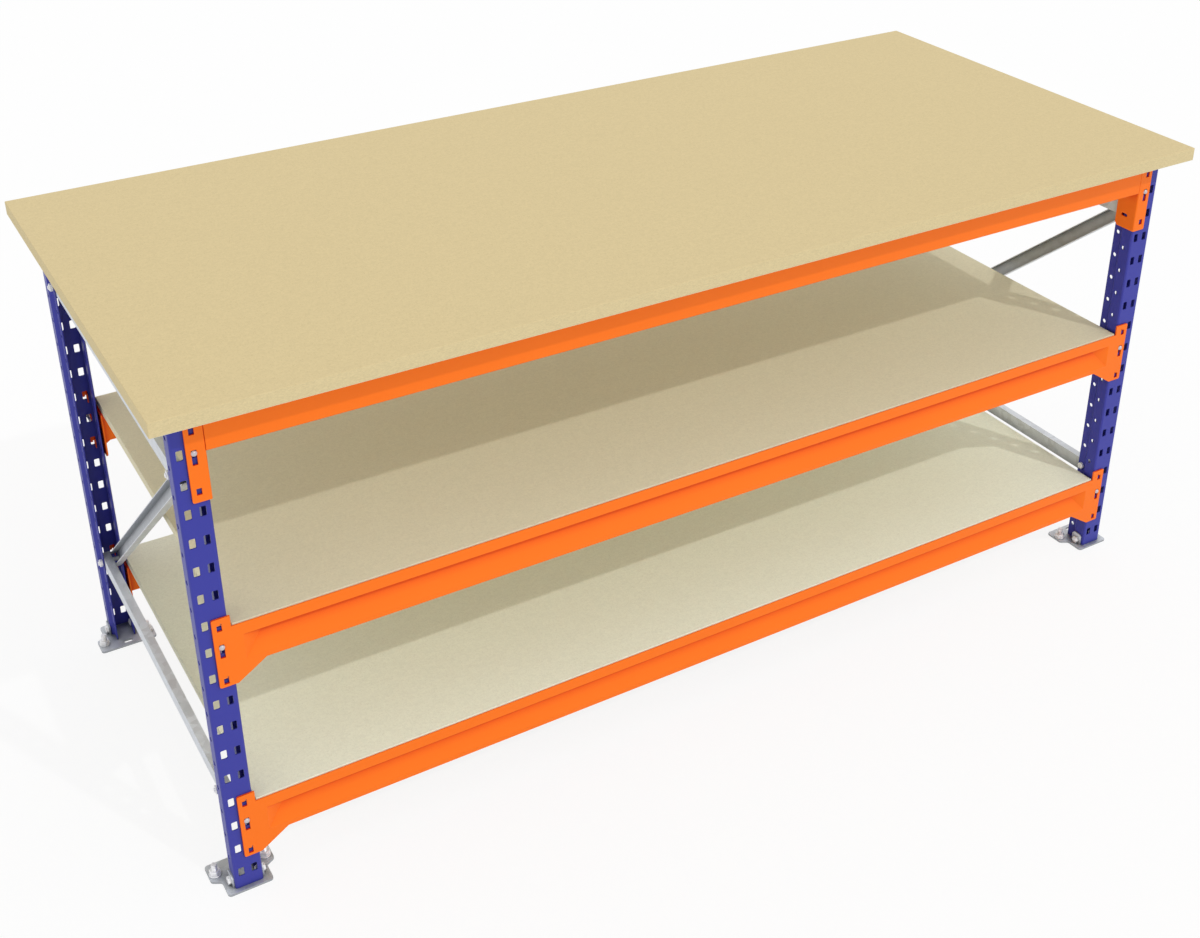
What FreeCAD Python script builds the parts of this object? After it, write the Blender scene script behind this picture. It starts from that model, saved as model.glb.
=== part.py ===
import FreeCAD, Part
import math
import os

from FreeCAD import Vector

# Workbench of two braced end frames, six hook-on beams, a worktop and two lay-in shelves.
# Millimetres, +Z up, the front towards -Y. The origin is on the floor under the worktop's middle.

# Worktop and shelves
WORKTOP_END_OVERHANG = 34.5
WORKTOP_EDGE_OVERHANG = 47.5
WORKTOP_THICKNESS = 25.0
SHELF_THICKNESS = 18.0
BOARD_EDGE_BREAK = 0.8
SHELF_END_GAP = 1.5
SHELF_EDGE_GAP = 0.8
SHELF_ABOVE_RIB = 2.5

# End frames: distance between their middle planes, and depth over the upright faces
FRAME_SPACING = 1909.0
FRAME_DEPTH = 800.0

# Upright section: a wide front box that steps in to two narrower legs, which seat the brace bolts
UPRIGHT_LENGTH = 900.0
UPRIGHT_WIDTH = 48.0
UPRIGHT_FRONT_DEPTH = 26.0
UPRIGHT_WALL = 2.0
UPRIGHT_BEND = 4.0
LEG_SEAT_MARGIN = 1.5

# Rows of slots in the upright's face, and of round holes in its sides
SLOT_PITCH = 50.0
SLOT_HEIGHT = 17.0
SLOT_CORNER = 2.0
SLOT_COLUMN_SPACING = 22.0
LAST_SLOT_MARGIN = 17.0
SIDE_HOLE_TO_STEP = 9.0
BOLT_HOLE_GAP = 0.2

# Levels, counted in slots from the floor
MIDDLE_LEVEL_SLOT = 8
LOWER_LEVEL_SLOT = 1
SLOTS_PER_CONNECTOR = 3
LOWER_BRACE_SLOT = 3
SLOT_COUNT_SLACK = 0.01

# End connectors of the beams
CONNECTOR_THICKNESS = 3.0
CONNECTOR_PAST_MIDDLE = 2.4
CONNECTOR_SIDE_DEPTH = 45.0
CONNECTOR_CORNER = 3.0
CONNECTOR_BEND = 2.5
CONNECTOR_RISE = 8.0
SHELF_CONNECTOR_DROP = 20.0
TOP_CONNECTOR_DROP = 32.0
GUSSET_LEAST_DROP = 12.0
SHELF_WINDOW_DROP = 9.5
TOP_WINDOW_DROP = 14.5
WINDOW_HEIGHT = 11.0
WINDOW_NOTCH_WIDTH = 2.0
WINDOW_NOTCH_HEIGHT = 3.0
HOOK_THICKNESS = 2.0
HOOK_HEIGHT = 12.0
HOOK_REACH = 4.0
HOOK_LIP = 7.0
HOOK_SIDE_GAP = 1.0
HOOK_SEAT_GAP = 0.3
GUSSET_REACH = 48.5
FLUSH_END_LENGTH = 16.5
BLEND_END_LENGTH = 39.0
SIDE_SLOT_LENGTH = 15.0
SIDE_SLOT_WIDTH = 6.5
SIDE_SLOT_RISE = 27.0
SIDE_SLOT_SETBACK = 24.0
SIDE_PLATE_CHAMFER = 6.0

# Lock pins in the middle windows
PIN_SHANK_DIAMETER = 5.0
PIN_HEAD_LAP = 0.8
PIN_HEAD_HEIGHT = 3.2
PIN_LENGTH = 24.0
PIN_TIP_CHAMFER = 1.0
PIN_SIDE_GAP = 0.5
PIN_WINDOW_GAP = 1.5
SHELF_PIN_TOP_GAP = 1.5
TOP_PIN_TOP_GAP = 6.5

# Stepped beams that carry the shelves
SHELF_BEAM_HEIGHT = 76.0
SHELF_BEAM_DEPTH = 40.0
SHELF_BEAM_WALL = 2.0
SHELF_BEAM_TOP_DROP = 12.0
RIB_WIDTH = 2.0
FASCIA_HEIGHT = 21.0
FASCIA_RETURN = 2.0
RECESS_DEPTH = 18.0
BAND_FLAT = 9.0

# Box beams under the worktop
TOP_BEAM_HEIGHT = 69.0
TOP_BEAM_DEPTH = 40.0
TOP_BEAM_WALL = 2.0
TOP_BEAM_BEND = 3.0

# Wood screws that hold the worktop down to the box beams
SCREW_COUNT = 5
SCREW_END_DISTANCE = 120.0
SCREW_DIAMETER = 4.5
SCREW_COVER = 8.0
SCREW_TIP_LENGTH = 4.0
SCREW_HEAD_DIAMETER = 9.0
SCREW_HEAD_HEIGHT = 3.0
SCREW_GAP = 0.2
SCREW_ACCESS_DIAMETER = 13.0

# Channel braces, each filling one half of the width between the legs
BRACE_DEPTH = 28.0
BRACE_WALL = 1.5
BRACE_SIDE_GAP = 0.2
BRACE_MIDDLE_GAP = 0.4
BRACE_END = 12.0

# Bolts and nuts of the braces
BRACE_BOLT_DIAMETER = 8.0
BRACE_BOLT_HEAD_FLATS = 13.0
BRACE_BOLT_HEAD_HEIGHT = 5.3
BRACE_BOLT_HEAD_GAP = 0.7
BRACE_NUT_HEIGHT = 6.5
BRACE_BOLT_TIP = 2.0

# Footplates: a front part under the upright and two lobes that carry the floor anchors
FOOT_THICKNESS = 4.0
FOOT_FRONT_WIDTH = 77.0
FOOT_FRONT_REACH = 8.0
FOOT_LOBE_SIDE = 11.5
FOOT_LOBE_FRONT = 14.0
FOOT_LOBE_BACK = 25.0
FOOT_LOBE_FLARE = 9.0
FOOT_CORNER = 6.0
FOOT_SLOT_LENGTH = 18.0
FOOT_SLOT_WIDTH = 9.0
FOOT_SLOT_EDGE = 12.0
EAR_THICKNESS = 3.0
EAR_ABOVE_BOLT = 16.0
EAR_LENGTH = 24.0
EAR_CHAMFER = 5.0

# Bolts and nuts through the ears
EAR_BOLT_DIAMETER = 8.0
EAR_BOLT_HEAD_FLATS = 13.0
EAR_BOLT_HEAD_HEIGHT = 5.3
EAR_BOLT_FLOOR_GAP = 0.5
EAR_NUT_HEIGHT = 6.5
EAR_BOLT_TIP = 1.0

# Floor anchors, down to the floor
ANCHOR_DIAMETER = 10.0
ANCHOR_HOLE_GAP = 1.0
ANCHOR_SPACING = 86.0
ANCHOR_SETBACK = 50.0
ANCHOR_WASHER_DIAMETER = 21.0
ANCHOR_WASHER_THICKNESS = 2.0
ANCHOR_NUT_FLATS = 17.0
ANCHOR_NUT_HEIGHT = 8.0
ANCHOR_TIP = 12.0

# Worked-out places. u runs from an upright's middle plane towards the bay between the frames,
# v from the upright's face into its frame, and z from the floor.
FLOAT_SLACK = 1e-6
HEX_SIDES = 6
HEX_CORNER = 1 / math.sqrt(3)
FIRST_SIDE_HOLE = FOOT_THICKNESS + EAR_BOLT_FLOOR_GAP + EAR_BOLT_HEAD_FLATS * HEX_CORNER
FIRST_SLOT = FIRST_SIDE_HOLE + SLOT_PITCH / 2
UPRIGHT_TOP = FOOT_THICKNESS + UPRIGHT_LENGTH
SLOT_COUNT = int((UPRIGHT_TOP - LAST_SLOT_MARGIN - FIRST_SLOT) / SLOT_PITCH + SLOT_COUNT_SLACK) + 1
TOP_LEVEL_SLOT = SLOT_COUNT - SLOTS_PER_CONNECTOR
HALF_WIDTH = UPRIGHT_WIDTH / 2
LEG_INSET = BRACE_BOLT_HEAD_HEIGHT + BRACE_BOLT_HEAD_GAP
LEG_START = UPRIGHT_FRONT_DEPTH + LEG_INSET
BRACE_HOLE_SETBACK = LEG_START + BRACE_BOLT_HEAD_FLATS * HEX_CORNER + LEG_SEAT_MARGIN
BRACE_HOLE_DIAMETER = BRACE_BOLT_DIAMETER + 2 * BOLT_HOLE_GAP
UPRIGHT_DEPTH = 2 * BRACE_HOLE_SETBACK - LEG_START
LEG_OUTSIDE = HALF_WIDTH - LEG_INSET
LEG_INSIDE = LEG_OUTSIDE - UPRIGHT_WALL
SIDE_HOLE_SETBACK = UPRIGHT_FRONT_DEPTH - SIDE_HOLE_TO_STEP
SIDE_HOLE_DIAMETER = EAR_BOLT_DIAMETER + 2 * BOLT_HOLE_GAP
BEAM_END = HALF_WIDTH + CONNECTOR_THICKNESS
BEAM_HALF_LENGTH = FRAME_SPACING / 2 - BEAM_END
BEAM_FACE = -CONNECTOR_THICKNESS
SLOT_WIDTH = PIN_SIDE_GAP + PIN_SHANK_DIAMETER + PIN_WINDOW_GAP + HOOK_THICKNESS + HOOK_SIDE_GAP
SLOT_COLUMN = SLOT_COLUMN_SPACING / 2
PIN_COLUMN = SLOT_COLUMN - SLOT_WIDTH / 2 + PIN_SIDE_GAP + PIN_SHANK_DIAMETER / 2
PIN_HEAD_DIAMETER = PIN_SHANK_DIAMETER + 2 * (PIN_WINDOW_GAP + PIN_HEAD_LAP)
WINDOW_WIDTH = PIN_SHANK_DIAMETER + 2 * PIN_WINDOW_GAP
SCREW_DEPTH = WORKTOP_THICKNESS - SCREW_COVER
FOOT_LOBE_START = ANCHOR_SETBACK - FOOT_LOBE_FRONT
FOOT_INNER_REACH = ANCHOR_SETBACK + FOOT_LOBE_BACK
X_AXIS = Vector(1, 0, 0)
Y_AXIS = Vector(0, 1, 0)
Z_AXIS = Vector(0, 0, 1)
ORIGIN = Vector(0, 0, 0)


def slot_height(index):
    """Height of a slot's middle above the floor."""
    return FIRST_SLOT + index * SLOT_PITCH


def block(low, high):
    """Box between two opposite corners."""
    size = [b - a for a, b in zip(low, high)]
    return Part.makeBox(size[0], size[1], size[2], Vector(*low))


def prism(points, along):
    """Solid of a closed outline, pushed along a vector."""
    corners = [Vector(*p) for p in points]
    return Part.Face(Part.makePolygon(corners + corners[:1])).extrude(along)


def rod(diameter, start, along):
    """Cylinder from a point, as long as the vector."""
    return Part.makeCylinder(diameter / 2, along.Length, Vector(*start), along)


def hexagon(flats, start, along):
    """Hexagonal prism from a point, as long as the vector, which is square to Y."""
    radius = flats * HEX_CORNER
    other = along.cross(Y_AXIS).normalize()
    turns = [math.tau * i / HEX_SIDES for i in range(HEX_SIDES)]
    corners = [Vector(*start) + (Y_AXIS * math.cos(a) + other * math.sin(a)) * radius for a in turns]
    return Part.Face(Part.makePolygon(corners + corners[:1])).extrude(along)


def round_edges(solid, radius, wanted):
    """Solid with every straight edge that passes the test rounded."""
    return solid.makeFillet(radius, [e for e in solid.Edges if wanted(e)])


def runs_along(edge, axis):
    """Whether an edge is straight and parallel to an axis."""
    if len(edge.Vertexes) != 2:
        return False
    step = edge.Vertexes[1].Point - edge.Vertexes[0].Point
    return abs(abs(step.dot(axis)) - step.Length) < FLOAT_SLACK and step.Length > FLOAT_SLACK


def long_slot(length, width, middle, run, along):
    """Cutter for a slot with round ends: it runs along one axis, and cuts along the vector."""
    reach = (length - width) / 2
    across = along.cross(run).normalize()
    centre = Vector(*middle)
    corners = [
        centre - run * reach - across * (width / 2),
        centre + run * reach - across * (width / 2),
        centre + run * reach + across * (width / 2),
        centre - run * reach + across * (width / 2),
    ]
    body = Part.Face(Part.makePolygon(corners + corners[:1])).extrude(along)
    ends = [Part.makeCylinder(width / 2, along.Length, centre + run * s, along) for s in (-reach, reach)]
    return body.fuse(ends)


def place(solid, right, rear):
    """Moves a piece from the front left upright's own frame to one of the four corners."""
    placed = solid.copy()
    if right:
        placed = placed.mirror(ORIGIN, X_AXIS)
    if rear:
        placed = placed.mirror(ORIGIN, Y_AXIS)
    x = FRAME_SPACING / 2 if right else -FRAME_SPACING / 2
    y = FRAME_DEPTH / 2 if rear else -FRAME_DEPTH / 2
    placed.translate(Vector(x, y, 0))
    return placed


def save(solid, name):
    """Writes one piece, or one group of like pieces, to its own file."""
    solid.exportStep("parts/%s.step" % name)


def make_upright():
    """Perforated upright: face with two columns of slots, sides with two columns of holes."""
    bend = UPRIGHT_WALL * math.tan(math.pi / 8)
    inside = HALF_WIDTH - UPRIGHT_WALL
    half = [
        (HALF_WIDTH, 0),
        (HALF_WIDTH, UPRIGHT_FRONT_DEPTH),
        (LEG_OUTSIDE, LEG_START),
        (LEG_OUTSIDE, UPRIGHT_DEPTH),
        (LEG_INSIDE, UPRIGHT_DEPTH),
        (LEG_INSIDE, LEG_START - bend),
        (inside, UPRIGHT_FRONT_DEPTH - bend),
        (inside, UPRIGHT_WALL),
    ]
    outline = half + [(-u, v) for u, v in reversed(half)]
    section = [(u, v, FOOT_THICKNESS) for u, v in outline]
    shell = prism(section, Z_AXIS * UPRIGHT_LENGTH)

    def outer_bend(edge):
        start = edge.Vertexes[0].Point
        at_face = abs(start.y) < FLOAT_SLACK
        return runs_along(edge, Z_AXIS) and abs(abs(start.x) - HALF_WIDTH) < FLOAT_SLACK and at_face

    def inner_bend(edge):
        start = edge.Vertexes[0].Point
        at_wall = abs(start.y - UPRIGHT_WALL) < FLOAT_SLACK
        return runs_along(edge, Z_AXIS) and abs(abs(start.x) - inside) < FLOAT_SLACK and at_wall

    shell = round_edges(shell, UPRIGHT_BEND, outer_bend)
    shell = round_edges(shell, max(UPRIGHT_BEND - UPRIGHT_WALL, UPRIGHT_WALL / 4), inner_bend)
    cutters = []
    for index in range(SLOT_COUNT):
        z = slot_height(index)
        for column in (-SLOT_COLUMN, SLOT_COLUMN):
            low = (column - SLOT_WIDTH / 2, -UPRIGHT_WALL, z - SLOT_HEIGHT / 2)
            high = (column + SLOT_WIDTH / 2, 2 * UPRIGHT_WALL, z + SLOT_HEIGHT / 2)
            cutters.append(round_edges(block(low, high), SLOT_CORNER, lambda e: runs_along(e, Y_AXIS)))
        across = X_AXIS * (2 * UPRIGHT_WIDTH)
        side_hole = FIRST_SIDE_HOLE + index * SLOT_PITCH
        cutters.append(rod(SIDE_HOLE_DIAMETER, (-UPRIGHT_WIDTH, SIDE_HOLE_SETBACK, side_hole), across))
        cutters.append(rod(BRACE_HOLE_DIAMETER, (-UPRIGHT_WIDTH, BRACE_HOLE_SETBACK, z), across))
    return shell.cut(cutters)


def make_footplate():
    """Footplate: lobed base, two ears that bolt to the upright's sides, anchor holes and a free slot."""
    front = FOOT_FRONT_WIDTH / 2
    lobe = ANCHOR_SPACING / 2 + FOOT_LOBE_SIDE
    half = [
        (front, -FOOT_FRONT_REACH),
        (front, FOOT_LOBE_START - FOOT_LOBE_FLARE),
        (lobe, FOOT_LOBE_START),
        (lobe, FOOT_INNER_REACH),
    ]
    outline = half + [(-u, v) for u, v in reversed(half)]
    plate = prism([(u, v, 0) for u, v in outline], Z_AXIS * FOOT_THICKNESS)
    plate = round_edges(plate, FOOT_CORNER, lambda e: runs_along(e, Z_AXIS))
    ear_start = SIDE_HOLE_SETBACK - EAR_LENGTH / 2
    ear_end = SIDE_HOLE_SETBACK + EAR_LENGTH / 2
    ear_top = FIRST_SIDE_HOLE + EAR_ABOVE_BOLT
    ears = []
    for side in (-1, 1):
        u = HALF_WIDTH if side > 0 else -HALF_WIDTH - EAR_THICKNESS
        outline = [
            (u, ear_start, 0),
            (u, ear_end, 0),
            (u, ear_end, ear_top - EAR_CHAMFER),
            (u, ear_end - EAR_CHAMFER, ear_top),
            (u, ear_start + EAR_CHAMFER, ear_top),
            (u, ear_start, ear_top - EAR_CHAMFER),
        ]
        ears.append(prism(outline, X_AXIS * EAR_THICKNESS))
    through = Z_AXIS * (3 * FOOT_THICKNESS)
    below = -FOOT_THICKNESS
    anchor_hole = ANCHOR_DIAMETER + 2 * ANCHOR_HOLE_GAP
    cutters = [rod(anchor_hole, (s * ANCHOR_SPACING / 2, ANCHOR_SETBACK, below), through) for s in (-1, 1)]
    slot_middle = (0, FOOT_INNER_REACH - FOOT_SLOT_EDGE, below)
    cutters.append(long_slot(FOOT_SLOT_LENGTH, FOOT_SLOT_WIDTH, slot_middle, X_AXIS, through))
    ear_hole = (-UPRIGHT_WIDTH, SIDE_HOLE_SETBACK, FIRST_SIDE_HOLE)
    cutters.append(rod(SIDE_HOLE_DIAMETER, ear_hole, X_AXIS * (2 * UPRIGHT_WIDTH)))
    return plate.fuse(ears).cut(cutters)


def make_ear_bolts():
    """The two bolts of one footplate, heads outside its ears."""
    bolts = []
    for side in (-1, 1):
        outside = side * (HALF_WIDTH + EAR_THICKNESS)
        inside = side * (HALF_WIDTH - UPRIGHT_WALL - EAR_NUT_HEIGHT - EAR_BOLT_TIP)
        inner_end = (inside, SIDE_HOLE_SETBACK, FIRST_SIDE_HOLE)
        head_seat = (outside, SIDE_HOLE_SETBACK, FIRST_SIDE_HOLE)
        shank = rod(EAR_BOLT_DIAMETER, inner_end, X_AXIS * (outside - inside))
        head = hexagon(EAR_BOLT_HEAD_FLATS, head_seat, X_AXIS * (side * EAR_BOLT_HEAD_HEIGHT))
        bolts.append(shank.fuse(head))
    return bolts


def make_ear_nuts():
    """The two nuts of one footplate, inside the upright."""
    nuts = []
    for side in (-1, 1):
        start = (side * (HALF_WIDTH - UPRIGHT_WALL), SIDE_HOLE_SETBACK, FIRST_SIDE_HOLE)
        along = X_AXIS * (-side * EAR_NUT_HEIGHT)
        nut = hexagon(EAR_BOLT_HEAD_FLATS, start, along)
        nuts.append(nut.cut(rod(EAR_BOLT_DIAMETER, start, along)))
    return nuts


def make_anchor_pieces():
    """Studs, nuts and washers of one footplate's two floor anchors."""
    washer_top = FOOT_THICKNESS + ANCHOR_WASHER_THICKNESS
    nut_top = washer_top + ANCHOR_NUT_HEIGHT
    studs, nuts, washers = [], [], []
    for side in (-1, 1):
        u = side * ANCHOR_SPACING / 2
        studs.append(rod(ANCHOR_DIAMETER, (u, ANCHOR_SETBACK, 0), Z_AXIS * (nut_top + ANCHOR_TIP)))
        nut = hexagon(ANCHOR_NUT_FLATS, (u, ANCHOR_SETBACK, washer_top), Z_AXIS * ANCHOR_NUT_HEIGHT)
        nuts.append(nut.cut(studs[-1]))
        seat = (u, ANCHOR_SETBACK, FOOT_THICKNESS)
        washer = rod(ANCHOR_WASHER_DIAMETER, seat, Z_AXIS * ANCHOR_WASHER_THICKNESS)
        washers.append(washer.cut(studs[-1]))
    return studs, nuts, washers


class Level:
    """One storey of beams: the slots its connectors hook into and the heights that follow from them."""

    def __init__(self, name, first_slot, carries_shelf):
        self.name = name
        self.carries_shelf = carries_shelf
        self.slots = [slot_height(first_slot + i) for i in range(SLOTS_PER_CONNECTOR)]
        self.connector_top = self.slots[-1] + CONNECTOR_RISE
        pin_ceiling = self.slots[1] + SLOT_HEIGHT / 2 - PIN_SHANK_DIAMETER / 2
        if carries_shelf:
            self.beam_top = self.slots[-1] - SHELF_BEAM_TOP_DROP
            self.beam_bottom = self.beam_top - SHELF_BEAM_HEIGHT
            self.ledge = self.beam_top + SHELF_ABOVE_RIB - SHELF_THICKNESS
            self.side_top = self.ledge
            below_beam = self.beam_bottom - GUSSET_LEAST_DROP
            self.connector_bottom = min(self.slots[0] - SHELF_CONNECTOR_DROP, below_beam)
            self.window_drop = SHELF_WINDOW_DROP
            self.pin_height = pin_ceiling - SHELF_PIN_TOP_GAP
        else:
            self.beam_top = UPRIGHT_TOP
            self.beam_bottom = self.beam_top - TOP_BEAM_HEIGHT
            self.side_top = self.connector_top
            self.connector_bottom = self.slots[0] - TOP_CONNECTOR_DROP
            self.window_drop = TOP_WINDOW_DROP
            self.pin_height = pin_ceiling - TOP_PIN_TOP_GAP


def shelf_beam_face(level):
    """Front outline points of a stepped beam, as (v, z), from its top edge to its bottom edge."""
    lip = level.beam_top - FASCIA_HEIGHT
    return [
        (BEAM_FACE, level.beam_top),
        (BEAM_FACE, lip),
        (BEAM_FACE + RECESS_DEPTH, lip - FASCIA_RETURN),
        (BEAM_FACE, level.beam_bottom + BAND_FLAT),
        (BEAM_FACE, level.beam_bottom),
    ]


def make_recess_end(level):
    """Pressed end that closes a stepped beam's recess: flush next to the connector, then blended away."""
    face = shelf_beam_face(level)
    (lip_v, lip_z), (deep_v, deep_z), (band_v, band_z) = face[1], face[2], face[3]
    flush_end = BEAM_END + FLUSH_END_LENGTH
    tip = flush_end + BLEND_END_LENGTH
    lip_start, lip_end = Vector(BEAM_END, lip_v, lip_z), Vector(flush_end, lip_v, lip_z)
    band_start, band_end = Vector(BEAM_END, band_v, band_z), Vector(flush_end, band_v, band_z)
    deep_start, deep_tip = Vector(BEAM_END, deep_v, deep_z), Vector(tip, deep_v, deep_z)
    outlines = [
        [lip_start, deep_start, band_start],
        [lip_start, lip_end, deep_tip, deep_start],
        [band_start, deep_start, deep_tip, band_end],
        [lip_start, band_start, band_end, lip_end],
        [lip_end, band_end, deep_tip],
    ]
    faces = [Part.Face(Part.makePolygon(points + points[:1])) for points in outlines]
    solid = Part.Solid(Part.Shell(faces))
    solid.fixTolerance(FLOAT_SLACK)
    return solid if solid.Volume > 0 else solid.reversed()


def make_hook(slot):
    """Tongue that goes through a slot of the upright and drops behind its face."""
    left = PIN_COLUMN + WINDOW_WIDTH / 2
    seat = slot - SLOT_HEIGHT / 2 + HOOK_SEAT_GAP
    behind = UPRIGHT_WALL + HOOK_SEAT_GAP
    outline = [
        (left, 0, seat),
        (left, behind, seat),
        (left, behind, seat - HOOK_LIP),
        (left, behind + HOOK_REACH, seat - HOOK_LIP),
        (left, behind + HOOK_REACH, seat + HOOK_HEIGHT),
        (left, 0, seat + HOOK_HEIGHT),
    ]
    return prism(outline, X_AXIS * HOOK_THICKNESS)


def make_connector(level):
    """End connector: front plate on the upright's face, side plate on its flank, two hooks, windows."""
    bottom, top = level.connector_bottom, level.connector_top
    front = block((-CONNECTOR_PAST_MIDDLE, BEAM_FACE, bottom), (BEAM_END, 0, top))

    def free_corner(edge):
        return runs_along(edge, Y_AXIS) and edge.Vertexes[0].Point.x < 0

    front = round_edges(front, CONNECTOR_CORNER, free_corner)
    side_outline = [
        (HALF_WIDTH, BEAM_FACE, bottom),
        (HALF_WIDTH, CONNECTOR_SIDE_DEPTH - SIDE_PLATE_CHAMFER, bottom),
        (HALF_WIDTH, CONNECTOR_SIDE_DEPTH, bottom + SIDE_PLATE_CHAMFER),
        (HALF_WIDTH, CONNECTOR_SIDE_DEPTH, level.side_top),
        (HALF_WIDTH, BEAM_FACE, level.side_top),
    ]
    additions = [prism(side_outline, X_AXIS * CONNECTOR_THICKNESS)]
    additions += [make_hook(level.slots[0]), make_hook(level.slots[-1])]
    if level.carries_shelf:
        gusset = [
            (BEAM_END, BEAM_FACE, bottom),
            (BEAM_END + GUSSET_REACH, BEAM_FACE, level.beam_bottom),
            (BEAM_END, BEAM_FACE, level.beam_bottom),
        ]
        additions += [prism(gusset, Y_AXIS * CONNECTOR_THICKNESS), make_recess_end(level)]
    cutters = []
    left, right = PIN_COLUMN - WINDOW_WIDTH / 2, PIN_COLUMN + WINDOW_WIDTH / 2
    for index, slot in enumerate(level.slots):
        low = slot - level.window_drop - WINDOW_HEIGHT / 2
        high = level.pin_height + WINDOW_HEIGHT / 2 if index == 1 else low + WINDOW_HEIGHT
        cutters.append(block((left, 2 * BEAM_FACE, low), (right, 0, high)))
        if level.carries_shelf and index != 1:
            notch_top = high + WINDOW_NOTCH_HEIGHT
            cutters.append(block((right - WINDOW_NOTCH_WIDTH, 2 * BEAM_FACE, low), (right, 0, notch_top)))
    if not level.carries_shelf:
        middle = (0, SIDE_SLOT_SETBACK, bottom + SIDE_SLOT_RISE)
        cutters.append(long_slot(SIDE_SLOT_LENGTH, SIDE_SLOT_WIDTH, middle, Y_AXIS, X_AXIS * (2 * BEAM_END)))
    bracket = front.fuse(additions).removeSplitter()
    if not level.carries_shelf:

        def folded_corner(edge):
            start = edge.Vertexes[0].Point
            at_face = abs(start.y - BEAM_FACE) < FLOAT_SLACK
            return runs_along(edge, Z_AXIS) and abs(start.x - BEAM_END) < FLOAT_SLACK and at_face

        bracket = round_edges(bracket, CONNECTOR_BEND, folded_corner)
    return bracket.cut(cutters)


def make_lock_pin(level):
    """Lock pin: domed head on the connector's front, shank through its window and the upright's slot."""
    shank = rod(PIN_SHANK_DIAMETER, (PIN_COLUMN, BEAM_FACE, level.pin_height), Y_AXIS * PIN_LENGTH)
    tip = BEAM_FACE + PIN_LENGTH
    tip_edges = [e for e in shank.Edges if abs(e.CenterOfMass.y - tip) < FLOAT_SLACK]
    shank = shank.makeChamfer(PIN_TIP_CHAMFER, tip_edges)
    head_radius = PIN_HEAD_DIAMETER / 2
    dome_radius = (head_radius ** 2 + PIN_HEAD_HEIGHT ** 2) / (2 * PIN_HEAD_HEIGHT)
    seat = Vector(PIN_COLUMN, BEAM_FACE, level.pin_height)
    ball = Part.makeSphere(dome_radius, seat + Y_AXIS * (dome_radius - PIN_HEAD_HEIGHT))
    keep = rod(PIN_HEAD_DIAMETER, seat - Y_AXIS * PIN_HEAD_HEIGHT, Y_AXIS * PIN_HEAD_HEIGHT)
    return shank.fuse(ball.common(keep))


def make_shelf_beam(level, rear):
    """Stepped beam: fascia, recess and sloping band in front, a ledge for the shelf behind its rib."""
    back = BEAM_FACE + SHELF_BEAM_DEPTH
    ledge = level.ledge
    outside = shelf_beam_face(level)
    outside += [
        (back, level.beam_bottom),
        (back, ledge),
        (BEAM_FACE + RIB_WIDTH, ledge),
        (BEAM_FACE + RIB_WIDTH, level.beam_top),
    ]
    deep = BEAM_FACE + RECESS_DEPTH + SHELF_BEAM_WALL
    band = level.beam_bottom + BAND_FLAT
    inside = [
        (deep, ledge - SHELF_BEAM_WALL),
        (back - SHELF_BEAM_WALL, ledge - SHELF_BEAM_WALL),
        (back - SHELF_BEAM_WALL, level.beam_bottom + SHELF_BEAM_WALL),
        (BEAM_FACE + SHELF_BEAM_WALL, level.beam_bottom + SHELF_BEAM_WALL),
        (BEAM_FACE + SHELF_BEAM_WALL, band),
        (deep, min(ledge - SHELF_BEAM_WALL, level.beam_top - FASCIA_HEIGHT) - FASCIA_RETURN),
    ]
    run = X_AXIS * (2 * BEAM_HALF_LENGTH)
    beam = prism([(-BEAM_HALF_LENGTH, v, z) for v, z in outside], run)
    beam = beam.cut(prism([(-BEAM_HALF_LENGTH, v, z) for v, z in inside], run))
    return to_side(beam, rear)


def make_top_beam(level, rear):
    """Box beam under the worktop, with screw holes in its top wall and access holes below them."""
    low = (-BEAM_HALF_LENGTH, BEAM_FACE, level.beam_bottom)
    high = (BEAM_HALF_LENGTH, BEAM_FACE + TOP_BEAM_DEPTH, level.beam_top)
    beam = round_edges(block(low, high), TOP_BEAM_BEND, lambda e: runs_along(e, X_AXIS))
    inner_low = (low[0], low[1] + TOP_BEAM_WALL, low[2] + TOP_BEAM_WALL)
    inner_high = (high[0], high[1] - TOP_BEAM_WALL, high[2] - TOP_BEAM_WALL)
    inner_bend = max(TOP_BEAM_BEND - TOP_BEAM_WALL, TOP_BEAM_WALL / 4)
    cutters = [round_edges(block(inner_low, inner_high), inner_bend, lambda e: runs_along(e, X_AXIS))]
    for x, v in screw_places():
        wall = (x, v, level.beam_top - 2 * TOP_BEAM_WALL)
        cutters.append(rod(SCREW_DIAMETER + 2 * SCREW_GAP, wall, Z_AXIS * (3 * TOP_BEAM_WALL)))
        floor = (x, v, level.beam_bottom - TOP_BEAM_WALL)
        cutters.append(rod(SCREW_ACCESS_DIAMETER, floor, Z_AXIS * (3 * TOP_BEAM_WALL)))
    return to_side(beam.cut(cutters), rear)


def to_side(solid, rear):
    """Moves a beam or screw from the front face's own frame to the front or the rear of the bench."""
    placed = solid.mirror(ORIGIN, Y_AXIS) if rear else solid.copy()
    placed.translate(Vector(0, FRAME_DEPTH / 2 if rear else -FRAME_DEPTH / 2, 0))
    return placed


def screw_places():
    """Places of one box beam's screws, as (x, v)."""
    first = -BEAM_HALF_LENGTH + SCREW_END_DISTANCE
    step = -2 * first / (SCREW_COUNT - 1)
    return [(first + i * step, BEAM_FACE + TOP_BEAM_DEPTH / 2) for i in range(SCREW_COUNT)]


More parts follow.
